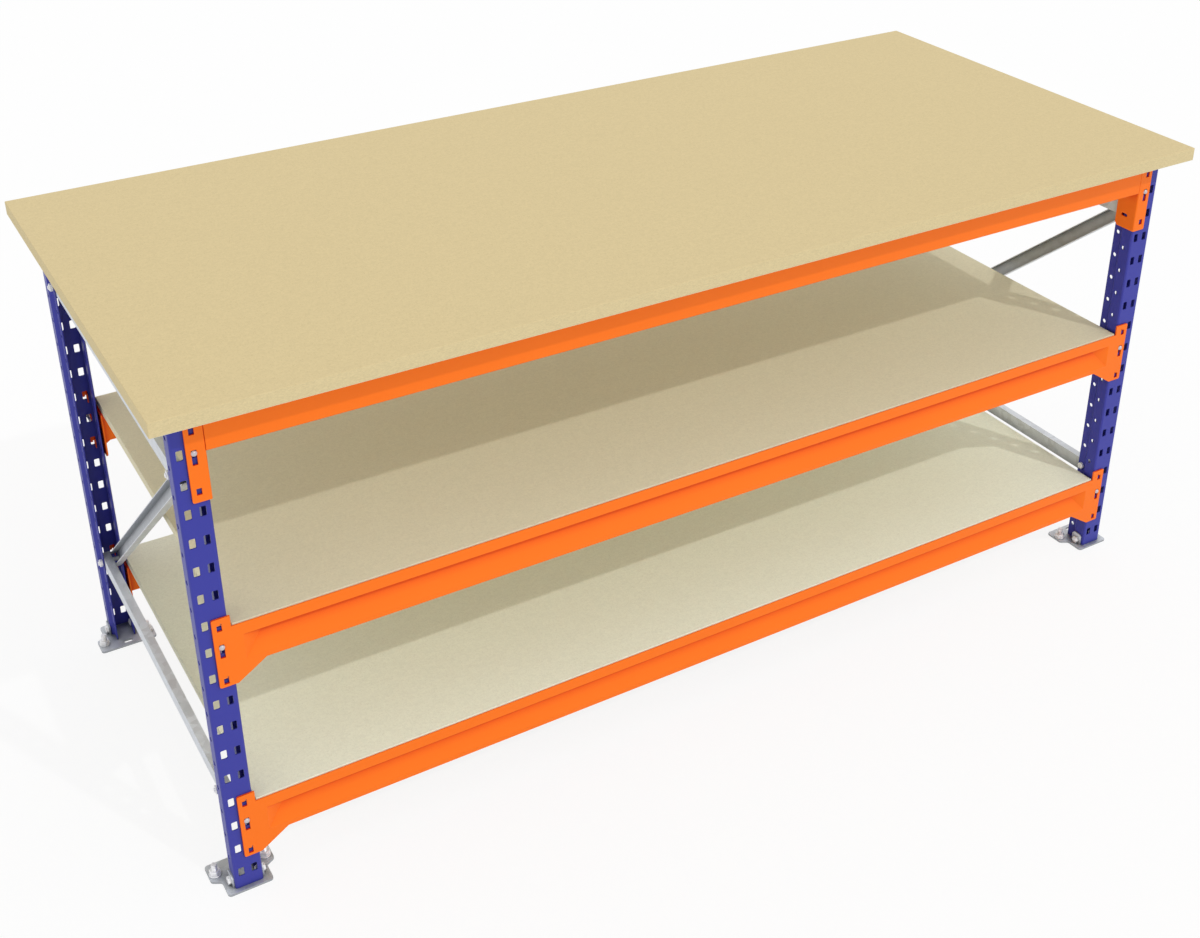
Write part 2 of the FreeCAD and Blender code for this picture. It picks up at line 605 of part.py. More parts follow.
def make_worktop_screws(rear):
    """Wood screws of one box beam: head under its top wall, point inside the worktop."""
    seat = UPRIGHT_TOP - TOP_BEAM_WALL
    straight = TOP_BEAM_WALL + SCREW_DEPTH - SCREW_TIP_LENGTH
    screws = []
    for x, v in screw_places():
        shank = rod(SCREW_DIAMETER, (x, v, seat), Z_AXIS * straight)
        point = Part.makeCone(SCREW_DIAMETER / 2, 0, SCREW_TIP_LENGTH, Vector(x, v, seat + straight), Z_AXIS)
        head = rod(SCREW_HEAD_DIAMETER, (x, v, seat), Z_AXIS * -SCREW_HEAD_HEIGHT)
        screws.append(to_side(shank.fuse([point, head]), rear))
    return screws


def make_board(length, depth, bottom, thickness):
    """Chipboard panel with lightly broken edges, centred over the origin."""
    board = block((-length / 2, -depth / 2, bottom), (length / 2, depth / 2, bottom + thickness))
    return board.makeChamfer(BOARD_EDGE_BREAK, board.Edges)


def make_worktop():
    """Worktop with pilot holes for its screws."""
    length = FRAME_SPACING + UPRIGHT_WIDTH + 2 * WORKTOP_END_OVERHANG
    depth = FRAME_DEPTH + 2 * WORKTOP_EDGE_OVERHANG
    board = make_board(length, depth, UPRIGHT_TOP, WORKTOP_THICKNESS)
    pilots = []
    for rear in (False, True):
        for x, v in screw_places():
            pilot = rod(SCREW_DIAMETER + 2 * SCREW_GAP, (x, v, UPRIGHT_TOP), Z_AXIS * (SCREW_DEPTH + SCREW_GAP))
            pilots.append(to_side(pilot, rear))
    return board.cut(pilots)


def make_shelf(level):
    """Shelf panel that lies on the ledges of the front and rear beam, between their ribs."""
    length = 2 * (BEAM_HALF_LENGTH - SHELF_END_GAP)
    depth = FRAME_DEPTH - 2 * (BEAM_FACE + RIB_WIDTH + SHELF_EDGE_GAP)
    return make_board(length, depth, level.ledge, SHELF_THICKNESS)


def brace_half(outer):
    """Span of u that a brace fills: the outer or the inner half between the legs of the uprights."""
    near, far = BRACE_MIDDLE_GAP / 2, LEG_INSIDE - BRACE_SIDE_GAP
    return (-far, -near) if outer else (near, far)


def make_channel(start, end, outer):
    """Channel brace between two bolts, given as (y, z), with its web on the side of the leg it touches."""
    run = Vector(0, end[0] - start[0], end[1] - start[1])
    length = run.Length + 2 * BRACE_END
    low, high = brace_half(outer)
    body = block((low, -BRACE_END, -BRACE_DEPTH / 2), (high, length - BRACE_END, BRACE_DEPTH / 2))
    open_low = low + BRACE_WALL if outer else low - BRACE_WALL
    open_high = high + BRACE_WALL if outer else high - BRACE_WALL
    hollow_low = (open_low, -2 * BRACE_END, -BRACE_DEPTH / 2 + BRACE_WALL)
    hollow_high = (open_high, length, BRACE_DEPTH / 2 - BRACE_WALL)
    channel = body.cut(block(hollow_low, hollow_high))
    across = X_AXIS * (2 * UPRIGHT_WIDTH)
    holes = [rod(BRACE_HOLE_DIAMETER, (-UPRIGHT_WIDTH, y, 0), across) for y in (0, run.Length)]
    channel = channel.cut(holes)
    channel.rotate(ORIGIN, X_AXIS, math.degrees(math.atan2(run.z, run.y)))
    channel.translate(Vector(0, start[0], start[1]))
    return channel


def brace_bolt_places():
    """Places of one frame's brace bolts, as (y, z): upper front, upper rear, lower front, lower rear."""
    y = FRAME_DEPTH / 2 - BRACE_HOLE_SETBACK
    return [(s * y, slot_height(k)) for k in (TOP_LEVEL_SLOT, LOWER_BRACE_SLOT) for s in (-1, 1)]


def make_braces():
    """The three braces of one frame, by name, about its middle plane."""
    upper_front, upper_rear, lower_front, lower_rear = brace_bolt_places()
    return {
        "upper_brace": make_channel(upper_front, upper_rear, True),
        "lower_brace": make_channel(lower_front, lower_rear, True),
        "diagonal_brace": make_channel(upper_front, lower_rear, False),
    }


def make_brace_bolts(towards_bay):
    """Bolts of one frame's braces, with their heads on the side of the bay."""
    bolts, nuts = [], []
    far = LEG_OUTSIDE + BRACE_NUT_HEIGHT + BRACE_BOLT_TIP
    for y, z in brace_bolt_places():
        head_seat = (towards_bay * LEG_OUTSIDE, y, z)
        head = hexagon(BRACE_BOLT_HEAD_FLATS, head_seat, X_AXIS * (towards_bay * BRACE_BOLT_HEAD_HEIGHT))
        shank = rod(BRACE_BOLT_DIAMETER, head_seat, X_AXIS * (-towards_bay * (LEG_OUTSIDE + far)))
        bolts.append(shank.fuse(head))
        nut_seat = (-towards_bay * LEG_OUTSIDE, y, z)
        nut = hexagon(BRACE_BOLT_HEAD_FLATS, nut_seat, X_AXIS * (-towards_bay * BRACE_NUT_HEIGHT))
        nuts.append(nut.cut(shank))
    return bolts, nuts


def moved(solid, x):
    """Copy of a piece moved along X."""
    copy = solid.copy()
    copy.translate(Vector(x, 0, 0))
    return copy


def save_levels(levels, corners):
    """Beams, connectors, lock pins and shelves of every level."""
    for level in levels:
        connector, pin = make_connector(level), make_lock_pin(level)
        make_beam = make_shelf_beam if level.carries_shelf else make_top_beam
        save(make_beam(level, False), "%s_front_beam" % level.name)
        save(make_beam(level, True), "%s_rear_beam" % level.name)
        for corner, right, rear in corners:
            save(place(connector, right, rear), "%s_%s_connector" % (level.name, corner))
            save(place(pin, right, rear), "%s_%s_lock_pin" % (level.name, corner))
        if level.carries_shelf:
            save(make_shelf(level), "%s_shelf" % level.name)


def save_uprights_and_feet(corners):
    """Uprights, footplates and everything bolted to the footplates."""
    upright, footplate = make_upright(), make_footplate()
    studs, anchor_nuts, washers = make_anchor_pieces()
    groups = {
        "ear_bolts": make_ear_bolts(),
        "ear_nuts": make_ear_nuts(),
        "anchor_studs": studs,
        "anchor_nuts": anchor_nuts,
        "anchor_washers": washers,
    }
    for corner, right, rear in corners:
        save(place(upright, right, rear), "%s_upright" % corner)
        save(place(footplate, right, rear), "%s_footplate" % corner)
    for name, pieces in groups.items():
        placed = [place(piece, right, rear) for corner, right, rear in corners for piece in pieces]
        save(Part.makeCompound(placed), name)


def save_braces():
    """Braces of both frames, with their bolts and nuts."""
    braces = make_braces()
    all_bolts, all_nuts = [], []
    for name, side in (("left", -1), ("right", 1)):
        x = side * FRAME_SPACING / 2
        for brace_name, brace in braces.items():
            save(moved(brace, x), "%s_%s" % (name, brace_name))
        bolts, nuts = make_brace_bolts(-side)
        all_bolts += [moved(bolt, x) for bolt in bolts]
        all_nuts += [moved(nut, x) for nut in nuts]
    save(Part.makeCompound(all_bolts), "brace_bolts")
    save(Part.makeCompound(all_nuts), "brace_nuts")


def main():
    """Builds every piece and writes its file."""
    os.makedirs("parts", exist_ok=True)
    corners = [
        ("front_left", False, False),
        ("front_right", True, False),
        ("rear_left", False, True),
        ("rear_right", True, True),
    ]
    levels = [
        Level("top", TOP_LEVEL_SLOT, False),
        Level("middle", MIDDLE_LEVEL_SLOT, True),
        Level("lower", LOWER_LEVEL_SLOT, True),
    ]
    save_levels(levels, corners)
    save_uprights_and_feet(corners)
    save_braces()
    save(make_worktop(), "worktop")
    save(Part.makeCompound(make_worktop_screws(False) + make_worktop_screws(True)), "worktop_screws")


main()
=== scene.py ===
"""Looks of a shelved workbench: the finishes of its pieces, its fasteners and a plain studio."""

from __future__ import annotations

import logging
import math
from dataclasses import dataclass, field
from enum import Enum
from typing import Any, Union

import bpy
from mathutils import Euler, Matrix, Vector

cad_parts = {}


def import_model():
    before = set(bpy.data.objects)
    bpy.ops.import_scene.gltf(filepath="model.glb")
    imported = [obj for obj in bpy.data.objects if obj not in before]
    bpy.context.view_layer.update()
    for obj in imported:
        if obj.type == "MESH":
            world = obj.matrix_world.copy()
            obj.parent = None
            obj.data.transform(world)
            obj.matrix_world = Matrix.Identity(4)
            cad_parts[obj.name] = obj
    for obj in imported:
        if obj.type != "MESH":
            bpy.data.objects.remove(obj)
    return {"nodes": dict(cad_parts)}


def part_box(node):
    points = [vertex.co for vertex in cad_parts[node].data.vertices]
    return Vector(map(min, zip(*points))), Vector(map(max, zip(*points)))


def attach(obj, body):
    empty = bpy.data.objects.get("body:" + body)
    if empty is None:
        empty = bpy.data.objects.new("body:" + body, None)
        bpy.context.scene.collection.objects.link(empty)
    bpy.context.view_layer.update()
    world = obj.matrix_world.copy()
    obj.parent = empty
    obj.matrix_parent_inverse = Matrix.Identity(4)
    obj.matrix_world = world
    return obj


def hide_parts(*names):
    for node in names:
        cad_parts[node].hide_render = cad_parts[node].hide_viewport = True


LOG = logging.getLogger("workbench")

Number = Union[int, float]
Triple = tuple[float, float, float]
Colour = Triple
Seat = tuple[Vector, Vector]
Key = Union[int, str]

HEX_CORNER = 1 / math.sqrt(3)
FLAT_TURN = 30.0
SHANK_SIDES = 24
THREAD_SIDES = 20
THREAD_ROOT = 0.86
BORE_SIDES = 28
HEAD_SLOPE = 1.6
RIM_SLOPE = 1.4
WHITE = (1.0, 1.0, 1.0, 1.0)


def linear(red: int, green: int, blue: int) -> Colour:
    """Turns a colour as seen on a screen into the linear values that shaders use.

    Args:
        red: Red, from 0 to 255.
        green: Green, from 0 to 255.
        blue: Blue, from 0 to 255.

    Returns:
        The three linear values, from 0 to 1.
    """
    def channel(value: int) -> float:
        """Linear value of one channel."""
        share = value / 255
        return share / 12.92 if share <= 0.04045 else ((share + 0.055) / 1.055) ** 2.4

    return channel(red), channel(green), channel(blue)


def toned(colour: Colour, factor: float) -> Colour:
    """A colour made lighter or darker, with no channel above 1."""
    red, green, blue = (min(1.0, channel * factor) for channel in colour)
    return red, green, blue


class End(Enum):
    """The two end frames."""

    LEFT = -1
    RIGHT = 1


class Edge(Enum):
    """The two long sides of the bench."""

    FRONT = -1
    REAR = 1


class Storey(Enum):
    """The three heights at which beams hang."""

    TOP = "top"
    MIDDLE = "middle"
    LOWER = "lower"


class Slot(Enum):
    """The finishes, by the names of their materials."""

    WORKTOP = "worktop_board"
    SHELF = "shelf_board"
    # Painted light: the lower shelf is the same board as the middle one, made paler to stand in
    # for the more light that reaches it.
    PALE_SHELF = "pale_shelf_board"
    BLUE = "blue_paint"
    ORANGE = "orange_paint"
    GALVANISED = "galvanised"
    ZINC = "zinc_plate"
    DULL_ZINC = "dull_zinc_plate"


class Value:
    """A socket that gives a number, with arithmetic that adds Math nodes."""

    def __init__(self, graph: Graph, socket: bpy.types.NodeSocket) -> None:
        """Keeps the socket and the graph that it is in."""
        self.graph = graph
        self.socket = socket

    def _maths(self, operation: str, first: Operand, second: Operand) -> Value:
        """Adds one Math node.

        Args:
            operation: What the node does.
            first: Left side.
            second: Right side.

        Returns:
            The node's result.
        """
        return self.graph.add("ShaderNodeMath", {"operation": operation}, {0: first, 1: second})

    def __add__(self, other: Operand) -> Value:
        """Sum."""
        return self._maths("ADD", self, other)

    def __radd__(self, other: Operand) -> Value:
        """Sum, with the number first."""
        return self._maths("ADD", other, self)

    def __sub__(self, other: Operand) -> Value:
        """Difference."""
        return self._maths("SUBTRACT", self, other)

    def __rsub__(self, other: Operand) -> Value:
        """Difference, with the number first."""
        return self._maths("SUBTRACT", other, self)

    def __mul__(self, other: Operand) -> Value:
        """Product."""
        return self._maths("MULTIPLY", self, other)

    def __truediv__(self, other: Operand) -> Value:
        """Quotient."""
        return self._maths("DIVIDE", self, other)

    def above(self, limit: Operand) -> Value:
        """One where the value is above a limit, and zero elsewhere."""
        return self._maths("GREATER_THAN", self, limit)

    def size(self) -> Value:
        """The value without its sign."""
        return self._maths("ABSOLUTE", self, 0.0)

    def within(self) -> Value:
        """The value, held between 0 and 1."""
        held = self._maths("ADD", self, 0.0)
        held.socket.node.use_clamp = True
        return held

    def at_most(self, limit: Operand) -> Value:
        """The smaller of the value and a limit."""
        return self._maths("MINIMUM", self, limit)


Operand = Union[Number, Value]


class Graph:
    """A node tree of either kind, which grows by one method."""

    def __init__(self, tree: bpy.types.NodeTree) -> None:
        """Keeps the tree."""
        self.tree = tree

    def add(self, kind: str, settings: dict[str, Any] | None = None,
            values: dict[Key, Any] | None = None, output: Key = 0) -> Value:
        """Adds a node, sets it up and links it.

        Args:
            kind: The node's type.
            settings: Its properties.
            values: Numbers, links or lists of links for its input sockets, by name or by place.
            output: The output socket to give back, by name or by place.

        Returns:
            That output socket, or the first input socket of a node that has no output.
        """
        node = self.tree.nodes.new(kind)
        for name, setting in (settings or {}).items():
            setattr(node, name, setting)
        for name, value in (values or {}).items():
            links = value if isinstance(value, list) else [value]
            for link in links:
                if isinstance(link, Value):
                    self.tree.links.new(link.socket, node.inputs[name])
                else:
                    node.inputs[name].default_value = link
        return Value(self, node.outputs[output] if node.outputs else node.inputs[0])

    def other(self, value: Value, output: Key) -> Value:
        """Another output socket of the node that a value comes from."""
        return Value(self, value.socket.node.outputs[output])

    def mix(self, share: Operand, first: Any, second: Any) -> Value:
        """Mixes two colours.

        Args:
            share: How much of the second colour there is.
            first: A colour or a link.
            second: A colour or a link.

        Returns:
            The mixed colour.
        """
        factor_socket, result_socket = 0, 2
        values: dict[Key, Any] = {factor_socket: share}
        for socket, colour in {6: first, 7: second}.items():
            values[socket] = colour if isinstance(colour, Value) else (*colour, 1.0)
        return self.add("ShaderNodeMix", {"data_type": "RGBA"}, values, result_socket)


class Shading(Graph):
    """The node tree of one new material."""

    # Settings of the painted shade: ambient occlusion turned into a mask that darkens colours
    # where walls close in.
    shade_samples = 8
    shade_gain = 1.7
    shade_start = 0.1

    def __init__(self, name: str) -> None:
        """Makes the material, empty but for the place on the piece."""
        self.material = bpy.data.materials.new(name)
        self.material.use_nodes = True
        super().__init__(self.material.node_tree)
        self.tree.nodes.clear()
        self.place = self.add("ShaderNodeTexCoord", output="Object")

    def stretched(self, scale: Triple) -> Value:
        """The place on the piece, stretched along each axis."""
        return self.add("ShaderNodeMapping", {}, {"Vector": self.place, "Scale": scale})

    def noise(self, scale: float, detail: float = 2.0) -> Value:
        """Soft noise.

        Args:
            scale: Waves per metre.
            detail: Finer layers added to it.

        Returns:
            The noise, about 0.5.
        """
        values = {"Vector": self.place, "Scale": scale, "Detail": detail}
        return self.add("ShaderNodeTexNoise", {}, values)

    def flakes(self, scale: float, place: Value) -> Value:
        """A random tone for each cell of a pattern of flakes.

        Args:
            scale: Flakes per metre.
            place: Where the pattern is read.

        Returns:
            The tone, from 0 to 1.
        """
        cells = self.add("ShaderNodeTexVoronoi", {}, {"Vector": place, "Scale": scale}, "Color")
        return self.add("ShaderNodeSeparateColor", {}, {"Color": cells}, "Red")

    def painted_shade_mask(self, reach: float) -> Value:
        """How closed in a place is, from 0 in the open to 1 deep in a fold: the mask of the
        painted shade that darkens colours in folds, recesses and under things.

        Args:
            reach: How far away a wall still counts, in metres.

        Returns:
            The share of the directions that a wall closes.
        """
        settings = {"samples": self.shade_samples}
        open_share = self.add("ShaderNodeAmbientOcclusion", settings, {"Distance": reach}, "AO")
        return ((1.0 - open_share) * self.shade_gain - self.shade_start).within()

    def finish(self, sockets: dict[str, Any], height: Value, depth: float) -> bpy.types.Material:
        """Adds the surface.

        Args:
            sockets: Numbers or links for the surface's sockets.
            height: Relief from 0 to 1.
            depth: How deep the relief is, in metres.

        Returns:
            The material.
        """
        bump = {"Height": height, "Strength": 1.0, "Distance": depth}
        normal = self.add("ShaderNodeBump", {}, bump)
        surface = self.add("ShaderNodeBsdfPrincipled", {}, {**sockets, "Normal": normal})
        self.add("ShaderNodeOutputMaterial", {}, {"Surface": surface})
        return self.material


@dataclass(frozen=True)
class Chipboard:
    """Pressed wood flakes: fine on the faces, coarser at the cut edges, raw and pale underneath.

    Scales are flakes or waves per metre, and shares are parts of one.
    """

    name: str
    face: Colour
    fleck: Colour
    edge: Colour
    back: Colour
    grain_scale: float = 420.0
    grain_stretch: Triple = (1.0, 0.55, 1.0)
    grain_share: float = 0.45
    crossed_scale: float = 294.0
    crossed_stretch: Triple = (0.5, 1.0, 1.0)
    crossed_share: float = 0.35
    dust_scale: float = 1900.0
    dust_share: float = 0.2
    cloud_scale: float = 2.6
    cloud_detail: float = 3.0
    cloud_share: float = 0.22
    cloud_tone: float = 0.95
    speck_scale: float = 640.0
    speck_limit: float = 0.66
    speck_share: float = 0.3
    core_scale: float = 380.0
    core_stretch: Triple = (1.0, 1.0, 2.2)
    dark_face: float = 0.93
    dark_edge: float = 0.92
    light_tone: float = 1.06
    level_limit: float = 0.4
    roughness: float = 0.62
    dust_roughness: float = 0.12
    edge_roughness: float = 0.12
    gloss: float = 0.3
    relief: float = 0.00006

    def material(self) -> bpy.types.Material:
        """Builds the finish."""
        shade = Shading(self.name)
        fine = shade.flakes(self.grain_scale, shade.stretched(self.grain_stretch))
        crossed = shade.flakes(self.crossed_scale, shade.stretched(self.crossed_stretch))
        dust = shade.noise(self.dust_scale)
        clouds = shade.noise(self.cloud_scale, self.cloud_detail)
        tone = fine * self.grain_share + crossed * self.crossed_share + dust * self.dust_share
        dark, light = toned(self.face, self.dark_face), toned(self.face, self.light_tone)
        board = shade.mix(tone, dark, light)
        board = shade.mix(clouds * self.cloud_share, board, toned(self.face, self.cloud_tone))
        specks = (shade.noise(self.speck_scale, 1.0) - self.speck_limit).above(0.0)
        board = shade.mix(specks * self.speck_share, board, self.fleck)
        across = shade.add("ShaderNodeNewGeometry", output="Normal")
        upward = shade.add("ShaderNodeSeparateXYZ", {}, {"Vector": across}, "Z")
        board = shade.mix((0.0 - upward).above(self.level_limit), board, self.back)
        cut = 1.0 - upward.size().above(self.level_limit)
        core = shade.flakes(self.core_scale, shade.stretched(self.core_stretch))
        dark, light = toned(self.edge, self.dark_edge), toned(self.edge, self.light_tone)
        colour = shade.mix(cut, board, shade.mix(core, dark, light))
        rough = self.roughness + dust * self.dust_roughness + cut * self.edge_roughness
        sockets = {"Base Color": colour, "Roughness": rough, "Specular IOR Level": self.gloss}
        return shade.finish(sockets, tone * (1.0 - cut) + core * cut, self.relief)


@dataclass(frozen=True)
class PowderCoat:
    """Baked powder paint: even colour, fine orange-peel relief, soft gloss, with painted shade
    that darkens it in folds and recesses.

    Scales are waves per metre, and shares are parts of one.
    """

    name: str
    colour: Colour
    # The colour below is the painted shade that the paint is drawn towards where walls close in;
    # reach and the share after it set how far walls count and how much painted shade is mixed in.
    painted_shade_colour: Colour
    roughness: float
    gloss: float
    reach: float
    painted_shade_share: float
    peel_scale: float = 820.0
    peel_roughness: float = 0.12
    cloud_scale: float = 3.5
    cloud_share: float = 0.7
    speckle_scale: float = 2600.0
    speckle_share: float = 0.3
    dark_tone: float = 0.93
    light_tone: float = 1.05
    relief: float = 0.00004

    def material(self) -> bpy.types.Material:
        """Builds the finish."""
        shade = Shading(self.name)
        peel = shade.noise(self.peel_scale)
        clouds = shade.noise(self.cloud_scale) * self.cloud_share
        speckle = shade.noise(self.speckle_scale, 1.0) * self.speckle_share
        dark, light = toned(self.colour, self.dark_tone), toned(self.colour, self.light_tone)
        colour = shade.mix(clouds + speckle, dark, light)
        # Painted shade: darkens the paint towards its shade colour in folds, recesses and under
        # things.
        colour = shade.mix(shade.painted_shade_mask(self.reach) * self.painted_shade_share, colour, self.painted_shade_colour)
        rough = self.roughness - self.peel_roughness / 2 + peel * self.peel_roughness
        sockets = {"Base Color": colour, "Roughness": rough, "Specular IOR Level": self.gloss}
        return shade.finish(sockets, peel, self.relief)


@dataclass(frozen=True)
class Galvanised:
    """Zinc-dipped sheet: crystals that differ a little in tone and gloss, and painted shade in
    its folds.

    Scales are crystals or waves per metre, and shares are parts of one.
    """

    name: str
    colour: Colour
    # Colour of the painted shade in folds and recesses.
    painted_shade_colour: Colour
    crystal_scale: float = 75.0
    crystal_share: float = 0.7
    fine_scale: float = 900.0
    fine_share: float = 0.3
    warp_scale: float = 40.0
    warp_x: float = 0.01
    warp_y: float = 0.008
    dark_tone: float = 0.84
    light_tone: float = 1.1
    # How far walls count for the painted shade, and how much of it is mixed in.
    reach: float = 0.024
    painted_shade_share: float = 0.8
    roughness: float = 0.36
    crystal_roughness: float = 0.14
    fine_roughness: float = 0.06
    metal: float = 0.55
    relief: float = 0.00003

    def material(self) -> bpy.types.Material:
        """Builds the finish."""
        shade = Shading(self.name)
        warp = shade.noise(self.warp_scale)
        aside = {"X": warp * self.warp_x, "Y": warp * self.warp_y}
        drift = shade.add("ShaderNodeCombineXYZ", {}, aside)
        bent = shade.add("ShaderNodeVectorMath", {"operation": "ADD"}, {0: shade.place, 1: drift})
        crystals = shade.flakes(self.crystal_scale, bent)
        fine = shade.noise(self.fine_scale)
        tone = crystals * self.crystal_share + fine * self.fine_share
        dark, light = toned(self.colour, self.dark_tone), toned(self.colour, self.light_tone)
        colour = shade.mix(tone, dark, light)
        # Painted shade: darkens the sheet towards its shade colour in folds and recesses.
        colour = shade.mix(shade.painted_shade_mask(self.reach) * self.painted_shade_share, colour, self.painted_shade_colour)
        rough = self.roughness + crystals * self.crystal_roughness + fine * self.fine_roughness
        sockets = {"Base Color": colour, "Roughness": rough, "Metallic": self.metal}
        return shade.finish(sockets, fine, self.relief)


@dataclass(frozen=True)
class ZincPlate:
    """Plated steel of the small fasteners, with faint turning marks.

    Scales are waves per metre.
    """

    name: str
    colour: Colour
    mark_scale: float = 2400.0
    mark_roughness: float = 0.1
    stain_scale: float = 160.0
    stain_roughness: float = 0.08
    stain_tone: float = 0.9
    roughness: float = 0.26
    metal: float = 0.35
    relief: float = 0.00002

    def material(self) -> bpy.types.Material:
        """Builds the finish."""
        shade = Shading(self.name)
        marks = shade.noise(self.mark_scale)
        stain = shade.noise(self.stain_scale)
        colour = shade.mix(stain, toned(self.colour, self.stain_tone), self.colour)
        rough = self.roughness + marks * self.mark_roughness + stain * self.stain_roughness
        sockets = {"Base Color": colour, "Roughness": rough, "Metallic": self.metal}
        return shade.finish(sockets, marks, self.relief)


RAW_BOARD = linear(232, 233, 208)
MAKERS = {
    Slot.WORKTOP: Chipboard(
        Slot.WORKTOP.value, face=linear(213, 194, 147), fleck=linear(176, 153, 104),
        edge=linear(214, 197, 152), back=RAW_BOARD),
    Slot.SHELF: Chipboard(
        Slot.SHELF.value, face=linear(219, 212, 184), fleck=linear(188, 176, 138),
        edge=linear(222, 214, 184), back=RAW_BOARD),
    # Painted light: a paler copy of the shelf board, standing in for the more light on the lower
    # shelf.
    Slot.PALE_SHELF: Chipboard(
        Slot.PALE_SHELF.value, face=linear(234, 234, 213), fleck=linear(198, 190, 158),
        edge=linear(232, 229, 204), back=RAW_BOARD),
    # The second colour of each paint is painted shade, drawn in where walls close in; the orange
    # one is red so that shaded orange stays red.
    Slot.BLUE: PowderCoat(
        Slot.BLUE.value, colour=linear(58, 61, 158), painted_shade_colour=linear(24, 22, 84),
        roughness=0.4, gloss=0.25, reach=0.01, painted_shade_share=0.6),
    Slot.ORANGE: PowderCoat(
        Slot.ORANGE.value, colour=linear(255, 119, 22), painted_shade_colour=linear(224, 24, 0),
        roughness=0.44, gloss=0.2, reach=0.026, painted_shade_share=0.95),
    # The second colour here is the painted shade of the galvanised sheet in its folds.
    Slot.GALVANISED: Galvanised(
        Slot.GALVANISED.value, colour=linear(214, 218, 224), painted_shade_colour=linear(84, 88, 92)),
    Slot.ZINC: ZincPlate(Slot.ZINC.value, colour=linear(246, 246, 248)),
    Slot.DULL_ZINC: ZincPlate(Slot.DULL_ZINC.value, colour=linear(200, 196, 203)),
}


@dataclass
class Finishes:
    """All finishes of the bench, by their slots."""

    materials: dict[Slot, bpy.types.Material] = field(default_factory=dict)

    def make(self) -> None:
        """Builds every finish once."""
        self.materials = {slot: maker.material() for slot, maker in MAKERS.items()}

    def paint(self, names: list[str], slot: Slot) -> None:
        """Gives nodes of the frame a finish.

        Args:
            names: The nodes.
            slot: The finish that they get.
        """
        for name in names:
            for place in FRAME["nodes"][name].material_slots:
                place.material = self.materials[slot]
            LOG.info("%s has %s", name, slot.value)


